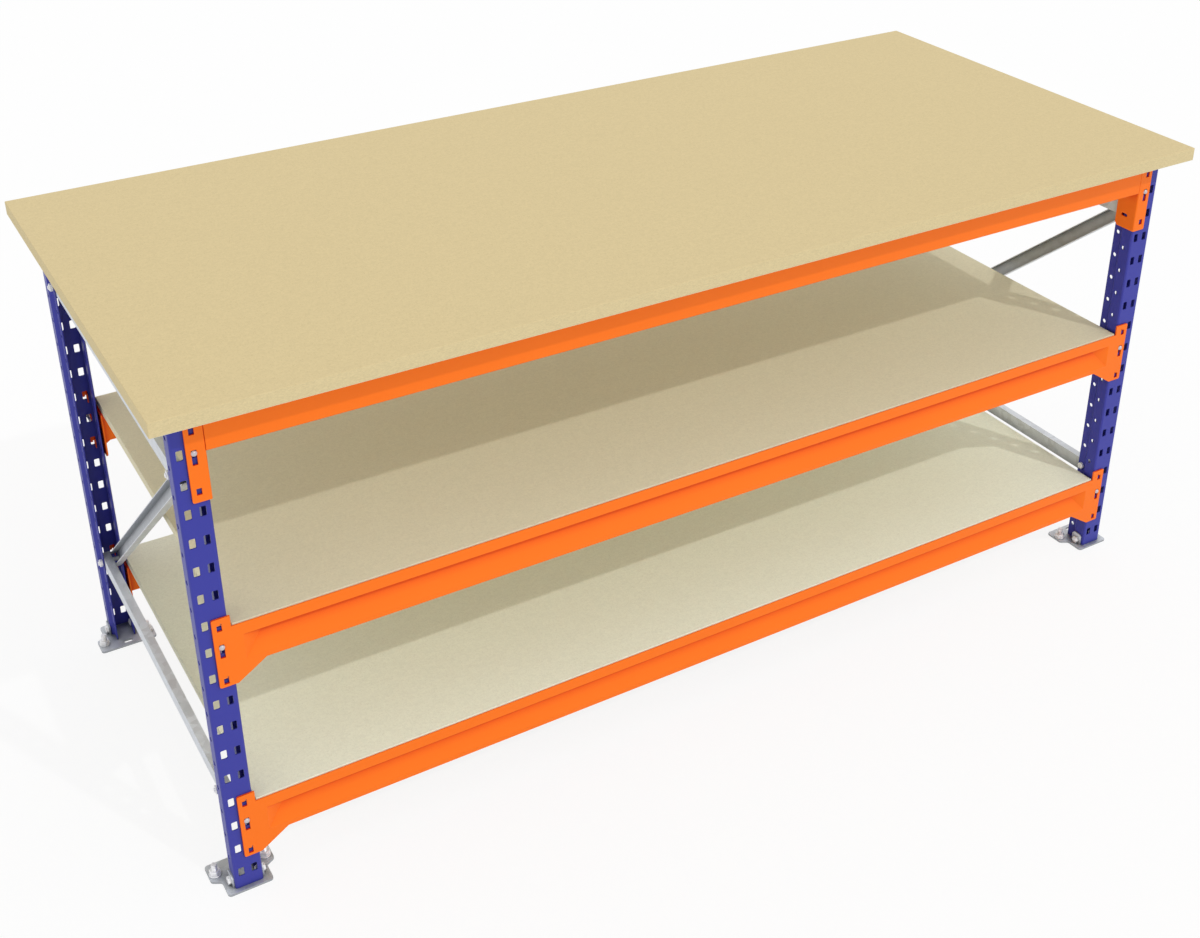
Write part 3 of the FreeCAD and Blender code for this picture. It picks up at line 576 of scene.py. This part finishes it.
class Shaping(Graph):
    """A geometry tree with named inputs, whose result becomes a plain mesh."""

    def __init__(self, name: str, lengths: dict[str, float], finish: bpy.types.Material,
                 sides: int = 6) -> None:
        """Makes the tree with its inputs.

        Args:
            name: The tree's name.
            lengths: The lengths that shape the piece, by their names.
            finish: The piece's material.
            sides: Number of sides of its outline.
        """
        group = bpy.data.node_groups.new(name, "GeometryNodeTree")
        super().__init__(group)
        self.values: dict[str, Any] = {**lengths, "Sides": sides, "Finish": finish}
        kinds = {"Seats": "NodeSocketGeometry", **{label: "NodeSocketFloat" for label in lengths},
                 "Sides": "NodeSocketInt", "Finish": "NodeSocketMaterial"}
        for label, kind in kinds.items():
            group.interface.new_socket(label, in_out="INPUT", socket_type=kind)
        group.interface.new_socket("Pieces", in_out="OUTPUT", socket_type="NodeSocketGeometry")
        self.entry = self.add("NodeGroupInput")

    def given(self, label: str) -> Value:
        """One of the tree's inputs."""
        return self.other(self.entry, label)

    def moved(self, piece: Value, height: Operand) -> Value:
        """A piece moved along its own axis."""
        lift = self.add("ShaderNodeCombineXYZ", {}, {"Z": height})
        return self.add("GeometryNodeTransform", {}, {"Geometry": piece, "Translation": lift})

    def disc(self, sides: Operand, radius: Operand, height: Value, base: Operand) -> Value:
        """A round or many-sided block that stands on a height.

        Args:
            sides: Number of sides.
            radius: Distance of the corners from the axis.
            height: Its height.
            base: The height that it stands on.

        Returns:
            The block.
        """
        values = {"Vertices": sides, "Radius": radius, "Depth": height}
        block = self.add("GeometryNodeMeshCylinder", {}, values)
        return self.moved(block, base + height * 0.5)

    def taper(self, sides: Operand, low: Operand, high: Operand, height: Operand,
              base: Operand) -> Value:
        """A block that narrows from one radius to another.

        Args:
            sides: Number of sides.
            low: Radius at its foot.
            high: Radius at its top.
            height: Its height.
            base: The height that it stands on.

        Returns:
            The block.
        """
        values = {"Vertices": sides, "Radius Bottom": low, "Radius Top": high, "Depth": height}
        return self.moved(self.add("GeometryNodeMeshCone", {}, values), base)

    def joined(self, pieces: list[Value]) -> Value:
        """All pieces as one."""
        return self.add("GeometryNodeJoinGeometry", {}, {0: pieces})

    def copies(self, piece: Value, points: Value, turn: dict[Key, Any]) -> Value:
        """Puts copies of a piece on points.

        Args:
            piece: The piece.
            points: Where the copies go.
            turn: The rotation of the copies, if they have one.

        Returns:
            The copies as one mesh.
        """
        values = {"Points": points, "Instance": piece, **turn}
        placed = self.add("GeometryNodeInstanceOnPoints", {}, values)
        return self.add("GeometryNodeRealizeInstances", {}, {"Geometry": placed})

    def thread(self, radius: Value, base: Value, length: Value, pitch: Value) -> Value:
        """Ridges of a thread along a stretch of the axis.

        Args:
            radius: Outer radius of the thread.
            base: Where the thread starts.
            length: How long it is.
            pitch: Distance between its ridges.

        Returns:
            The ridges.
        """
        root, half = radius * THREAD_ROOT, pitch * 0.5
        rise = self.taper(THREAD_SIDES, root, radius, half, 0.0)
        fall = self.taper(THREAD_SIDES, radius, root, half, half)
        step = self.add("ShaderNodeCombineXYZ", {}, {"Z": pitch})
        start = self.add("ShaderNodeCombineXYZ", {}, {"Z": base})
        values = {"Count": length / pitch, "Start Location": start, "Offset": step}
        return self.copies(self.joined([rise, fall]),
                           self.add("GeometryNodeMeshLine", {}, values), {})

    def close(self, piece: Value) -> None:
        """Puts the piece on every seat, along the seat's axis, and ends the tree.

        Args:
            piece: The piece, with its foot at the origin and its axis along Z.
        """
        vector = {"data_type": "FLOAT_VECTOR"}
        axis = self.add("GeometryNodeInputNamedAttribute", vector, {"Name": "axis"})
        turn = self.add("FunctionNodeAlignRotationToVector", {"axis": "Z"}, {"Vector": axis})
        level = {"Geometry": piece, "Rotation": (0.0, 0.0, math.radians(FLAT_TURN))}
        turned = self.add("GeometryNodeTransform", {}, level)
        solid = self.copies(turned, self.given("Seats"), {"Rotation": turn})
        dress = {"Geometry": solid, "Material": self.given("Finish")}
        self.add("NodeGroupOutput", {}, {0: self.add("GeometryNodeSetMaterial", {}, dress)})

    def run(self, name: str, seats: list[Seat]) -> bpy.types.Object:
        """Runs the tree on a set of seats.

        Args:
            name: Name of the finished piece.
            seats: For each copy, its place and the direction of its axis.

        Returns:
            An object with a plain mesh.
        """
        points = bpy.data.meshes.new(name + "_seats")
        points.from_pydata([place for place, _ in seats], [], [])
        axes = points.attributes.new("axis", "FLOAT_VECTOR", "POINT")
        for item, (_, axis) in zip(axes.data, seats):
            item.vector = axis
        holder = bpy.data.objects.new(name, points)
        bpy.context.scene.collection.objects.link(holder)
        modifier = holder.modifiers.new("shape", "NODES")
        modifier.node_group = self.tree
        for item in self.tree.interface.items_tree:
            if item.in_out == "INPUT" and item.name in self.values:
                modifier[item.identifier] = self.values[item.name]
        holder.update_tag()
        shaped = holder.evaluated_get(bpy.context.evaluated_depsgraph_get())
        mesh = bpy.data.meshes.new_from_object(shaped)
        mesh.name = name
        bpy.data.objects.remove(holder)
        piece = bpy.data.objects.new(name, mesh)
        bpy.context.scene.collection.objects.link(piece)
        return piece


@dataclass(frozen=True)
class HexBolt:
    """A bolt: chamfered hexagon head on its seat, and a shank below that ends in a thread."""

    flats: float
    head: float
    diameter: float
    length: float
    thread: float
    pitch: float
    chamfer: float = 0.0007

    def build(self, name: str, seats: list[Seat], finish: bpy.types.Material) -> bpy.types.Object:
        """Puts a bolt on each seat.

        Args:
            name: Name of the piece.
            seats: For each bolt, its seat and the direction that its head points in.
            finish: Its material.

        Returns:
            All the bolts as one piece.
        """
        tree = Shaping(name + "_shape", {
            "Corner Radius": self.flats * HEX_CORNER,
            "Head Height": self.head,
            "Chamfer": self.chamfer,
            "Shank Radius": self.diameter / 2,
            "Shank Length": self.length,
            "Thread Length": self.thread,
            "Thread Pitch": self.pitch,
        }, finish)
        sides, corner = tree.given("Sides"), tree.given("Corner Radius")
        head, chamfer = tree.given("Head Height"), tree.given("Chamfer")
        radius, length = tree.given("Shank Radius"), tree.given("Shank Length")
        thread = tree.given("Thread Length")
        smooth = length - thread
        tree.close(tree.joined([
            tree.disc(sides, corner, head - chamfer, 0.0),
            tree.taper(sides, corner, corner - chamfer * HEAD_SLOPE, chamfer, head - chamfer),
            tree.disc(SHANK_SIDES, radius, smooth, 0.0 - smooth),
            tree.thread(radius, 0.0 - length, thread, tree.given("Thread Pitch")),
        ]))
        return tree.run(name, seats)


@dataclass(frozen=True)
class RingPiece:
    """A nut or a washer: a block of some sides with chamfered rims and a bore."""

    sides: int
    corner: float
    height: float
    bore: float
    chamfer: float

    def build(self, name: str, seats: list[Seat], finish: bpy.types.Material) -> bpy.types.Object:
        """Puts a ring on each seat.

        Args:
            name: Name of the piece.
            seats: For each ring, its seat and the direction of its axis.
            finish: Its material.

        Returns:
            All the rings as one piece.
        """
        tree = Shaping(name + "_shape", {
            "Corner Radius": self.corner,
            "Height": self.height,
            "Bore Radius": self.bore / 2,
            "Chamfer": self.chamfer,
        }, finish, self.sides)
        sides, corner = tree.given("Sides"), tree.given("Corner Radius")
        height, chamfer = tree.given("Height"), tree.given("Chamfer")
        rim = corner - chamfer * RIM_SLOPE
        body = tree.joined([
            tree.taper(sides, rim, corner, chamfer, 0.0),
            tree.disc(sides, corner, height - chamfer * 2.0, chamfer),
            tree.taper(sides, corner, rim, chamfer, height - chamfer),
        ])
        welded = tree.add("GeometryNodeConvexHull", {}, {"Geometry": body})
        drill = tree.disc(BORE_SIDES, tree.given("Bore Radius"), height * 2.0, height * -0.5)
        meshes = {"Mesh 1": welded, "Mesh 2": drill}
        tree.close(tree.add("GeometryNodeMeshBoolean", {"operation": "DIFFERENCE"}, meshes))
        return tree.run(name, seats)


BRACE_BOLT = HexBolt(
    flats=0.013, head=0.0053, diameter=0.008, length=0.0445, thread=0.0105, pitch=0.00125)
EAR_BOLT = HexBolt(
    flats=0.013, head=0.0053, diameter=0.008, length=0.0125, thread=0.00875, pitch=0.00125)
SMALL_NUT = RingPiece(
    sides=6, corner=0.013 * HEX_CORNER, height=0.0065, bore=0.0082, chamfer=0.0008)
ANCHOR_NUT = RingPiece(
    sides=6, corner=0.017 * HEX_CORNER, height=0.008, bore=0.0102, chamfer=0.0011)
ANCHOR_WASHER = RingPiece(sides=32, corner=0.0105, height=0.002, bore=0.0102, chamfer=0.0003)


def hand_over(piece: bpy.types.Object, nodes: list[str]) -> None:
    """Lets a finished piece stand for nodes of the frame.

    Args:
        piece: The piece, which belongs to the fixed bench.
        nodes: The nodes that it stands for.
    """
    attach(piece, "bench")
    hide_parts(*nodes)
    LOG.info("%s stands for %s", piece.name, ", ".join(nodes))


def corner_names(kind: str) -> list[str]:
    """Names of a kind of piece that stands at each of the four corners."""
    return [f"{e.name.lower()}_{s.name.lower()}_{kind}" for e in Edge for s in End]


@dataclass
class Boards:
    """Worktop, the two lay-in shelves and the screws under the worktop."""

    worktop: str = "worktop"
    screws: str = "worktop_screws"
    middle: str = "middle_shelf"
    lower: str = "lower_shelf"

    def dress(self, finishes: Finishes) -> None:
        """Gives the boards and the screws their finishes."""
        finishes.paint([self.worktop], Slot.WORKTOP)
        finishes.paint([self.screws], Slot.ZINC)
        finishes.paint([self.middle], Slot.SHELF)
        # The lower shelf gets the paler copy of the board, as painted light.
        finishes.paint([self.lower], Slot.PALE_SHELF)


@dataclass
class EndFrames:
    """Uprights, braces and the bolts that join them."""

    spacing: float = 1.909
    leg_outside: float = 0.018
    bolt: HexBolt = BRACE_BOLT
    nut: RingPiece = SMALL_NUT

    def dress(self, finishes: Finishes) -> None:
        """Gives the uprights and the braces their finishes."""
        finishes.paint(corner_names("upright"), Slot.BLUE)
        kinds = ("upper", "lower", "diagonal")
        braces = [f"{end.name.lower()}_{kind}_brace" for end in End for kind in kinds]
        finishes.paint(braces, Slot.GALVANISED)

    def seats(self, depth: float, heights: tuple[float, float], outer: bool) -> list[Seat]:
        """Seats of the bolts or nuts on the legs of the uprights.

        Args:
            depth: Distance of the bolts from the middle of the bench, front and rear.
            heights: Heights of the lower and the upper bolts.
            outer: Whether the seats face away from the bay between the frames.

        Returns:
            A place and a direction for each.
        """
        found = []
        for end in End:
            facing = end.value if outer else -end.value
            x = end.value * self.spacing / 2 + facing * self.leg_outside
            out = Vector((facing, 0, 0))
            for edge in Edge:
                found += [(Vector((x, edge.value * depth, z)), out) for z in heights]
        return found

    def build(self, finishes: Finishes) -> None:
        """Makes the bolts and nuts of the braces, where the frame has them."""
        low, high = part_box("brace_bolts")
        half = self.bolt.flats / 2
        depth = (high[1] - low[1]) / 2 - self.bolt.flats * HEX_CORNER
        heights = (low[2] + half, high[2] - half)
        zinc = finishes.materials[Slot.ZINC]
        bolts = self.bolt.build("brace_bolt_set", self.seats(depth, heights, False), zinc)
        nuts = self.nut.build("brace_nut_set", self.seats(depth, heights, True), zinc)
        hand_over(bolts, ["brace_bolts"])
        hand_over(nuts, ["brace_nuts"])


@dataclass
class Storeys:
    """Beams, their end connectors and the lock pins, at all three heights."""

    def dress(self, finishes: Finishes) -> None:
        """Gives the beams, connectors and pins their finishes."""
        for storey in Storey:
            for edge in Edge:
                row = f"{storey.value}_{edge.name.lower()}"
                ends = [f"{row}_{end.name.lower()}" for end in End]
                painted = [f"{row}_beam"] + [f"{end}_connector" for end in ends]
                finishes.paint(painted, Slot.ORANGE)
                finishes.paint([f"{end}_lock_pin" for end in ends], Slot.DULL_ZINC)


@dataclass
class Feet:
    """Footplates with their ear bolts and floor anchors."""

    thickness: float = 0.004
    anchor_spacing: float = 0.086
    anchor_diameter: float = 0.010
    anchor_thread: float = 0.021
    anchor_pitch: float = 0.0015
    tip_flats: float = 0.0086
    tip_height: float = 0.0004
    tip_chamfer: float = 0.0002
    washer: RingPiece = ANCHOR_WASHER
    nut: RingPiece = ANCHOR_NUT
    ear_face: float = 0.027
    wall_inside: float = 0.022
    ear_bolt: HexBolt = EAR_BOLT
    ear_nut: RingPiece = SMALL_NUT

    def dress(self, finishes: Finishes) -> None:
        """Gives the footplates their finish."""
        finishes.paint(corner_names("footplate"), Slot.GALVANISED)

    def anchor_places(self) -> list[tuple[float, float]]:
        """X and Y of the two anchors of every foot, from the box around all their washers."""
        low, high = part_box("anchor_washers")
        found = []
        for end in End:
            outer = end.value * ((high[0] - low[0]) / 2 - self.washer.corner)
            for edge in Edge:
                y = edge.value * ((high[1] - low[1]) / 2 - self.washer.corner)
                found += [(outer, y), (outer - end.value * self.anchor_spacing, y)]
        return found

    def build(self, finishes: Finishes) -> None:
        """Makes the anchors and the ear bolts, where the frame has them."""
        zinc = finishes.materials[Slot.ZINC]
        places = self.anchor_places()
        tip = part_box("anchor_studs")[1][2] - self.tip_height
        stud = HexBolt(self.tip_flats, self.tip_height, self.anchor_diameter, tip,
                       self.anchor_thread, self.anchor_pitch, self.tip_chamfer)
        up = Vector((0, 0, 1))

        def at(height: float) -> list[Seat]:
            """Seats of all anchors at one height."""
            return [(Vector((x, y, height)), up) for x, y in places]

        hand_over(stud.build("anchor_stud_set", at(tip), zinc), ["anchor_studs"])
        washers = self.washer.build("anchor_washer_set", at(self.thickness), zinc)
        hand_over(washers, ["anchor_washers"])
        nuts = self.nut.build("anchor_nut_set", at(self.thickness + self.washer.height), zinc)
        hand_over(nuts, ["anchor_nuts"])
        self.build_ear_bolts(zinc)

    def build_ear_bolts(self, zinc: bpy.types.Material) -> None:
        """Makes the bolts through the ears and their nuts inside the uprights.

        Args:
            zinc: Their material.
        """
        low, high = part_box("ear_bolts")
        depth = (high[1] - low[1]) / 2 - self.ear_bolt.flats * HEX_CORNER
        height = (low[2] + high[2]) / 2
        middle = (high[0] - low[0]) / 2 - self.ear_bolt.head - self.ear_face
        nut_seat = self.wall_inside - self.ear_nut.height
        bolts, nuts = [], []
        for end in End:
            for edge in Edge:
                for side in (-1, 1):
                    centre, y = end.value * middle, edge.value * depth
                    out = Vector((side, 0, 0))
                    bolts.append((Vector((centre + side * self.ear_face, y, height)), out))
                    nuts.append((Vector((centre + side * nut_seat, y, height)), out))
        hand_over(self.ear_bolt.build("ear_bolt_set", bolts, zinc), ["ear_bolts"])
        hand_over(self.ear_nut.build("ear_nut_set", nuts, zinc), ["ear_nuts"])


@dataclass
class Studio:
    """Plain floor, soft light all round and a high front lamp, and the camera.

    Angles are in degrees.
    """

    eye: Triple = (-1.4030, -2.3593, 2.0286)
    heading: float = 30.667
    dip: float = 27.264
    lens: float = 47.746
    sensor: float = 36.0
    shift: tuple[float, float] = (-0.018, -0.12)
    sight: float = 100.0
    light_travel: Triple = (-0.398, 0.887, -1.0)
    lamp: float = 0.78
    lamp_angle: float = 1.2
    dome: float = 0.87
    floor_reach: float = 30.0
    floor_grey: float = 0.9
    floor_white: float = 0.86

    def camera(self) -> None:
        """Adds the camera of the main view."""
        data = bpy.data.cameras.new("view")
        data.sensor_width = self.sensor
        data.lens = self.lens
        data.shift_x, data.shift_y = self.shift
        data.clip_end = self.sight
        camera = bpy.data.objects.new("view", data)
        camera.location = self.eye
        tilt, turn = math.radians(90 - self.dip), math.radians(-self.heading)
        camera.rotation_euler = Euler((tilt, 0.0, turn))
        bpy.context.scene.collection.objects.link(camera)
        bpy.context.scene.camera = camera

    def lights(self) -> None:
        """Adds the lamp and the white surround."""
        data = bpy.data.lights.new("front_lamp", "SUN")
        data.energy = self.lamp
        data.angle = math.radians(self.lamp_angle)
        lamp = bpy.data.objects.new("front_lamp", data)
        lamp.rotation_euler = Vector(self.light_travel).to_track_quat("-Z", "Y").to_euler()
        bpy.context.scene.collection.objects.link(lamp)
        world = bpy.data.worlds.new("surround")
        world.use_nodes = True
        world.node_tree.nodes.clear()
        graph = Graph(world.node_tree)
        strength = self.dome + self.seen(graph) * (1.0 - self.dome)
        sky = graph.add("ShaderNodeBackground", {}, {"Color": WHITE, "Strength": strength})
        graph.add("ShaderNodeOutputWorld", {}, {"Surface": sky})
        bpy.context.scene.world = world
        bpy.context.scene.view_settings.view_transform = "Standard"

    def seen(self, graph: Graph) -> Value:
        """One for rays that show the surround itself, straight on or in gloss and glass."""
        path = graph.add("ShaderNodeLightPath", output="Is Camera Ray")
        other = graph.other(path, "Is Glossy Ray") + graph.other(path, "Is Transmission Ray")
        return (path + other).at_most(1.0)

    def floor(self) -> None:
        """Adds the pale floor, which keeps a faint shadow."""
        far = self.floor_reach
        mesh = bpy.data.meshes.new("floor")
        corners = [(-far, -far, 0.0), (far, -far, 0.0), (far, far, 0.0), (-far, far, 0.0)]
        mesh.from_pydata(corners, [], [(0, 1, 2, 3)])
        shade = Shading("floor")
        grey = self.floor_grey
        matt = shade.add("ShaderNodeBsdfDiffuse", {}, {"Color": (grey, grey, grey, 1.0)})
        white = shade.add("ShaderNodeEmission", {}, {"Color": WHITE, "Strength": 1.0})
        share = self.seen(shade) * self.floor_white
        mixed = shade.add("ShaderNodeMixShader", {}, {0: share, 1: matt, 2: white})
        shade.add("ShaderNodeOutputMaterial", {}, {"Surface": mixed})
        mesh.materials.append(shade.material)
        floor = bpy.data.objects.new("floor", mesh)
        bpy.context.scene.collection.objects.link(floor)

    def build(self) -> None:
        """Adds everything round the bench."""
        self.camera()
        self.lights()
        self.floor()


FRAME: dict[str, Any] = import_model()


def main() -> None:
    """Dresses the bench, adds its fasteners and sets the studio around it."""
    logging.basicConfig(level=logging.INFO)
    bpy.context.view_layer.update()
    finishes = Finishes()
    finishes.make()
    boards, frames, storeys, feet = Boards(), EndFrames(), Storeys(), Feet()
    for assembly in (boards, frames, storeys, feet):
        assembly.dress(finishes)
    frames.build(finishes)
    feet.build(finishes)
    Studio().build()


if __name__ == "__main__":
    main()
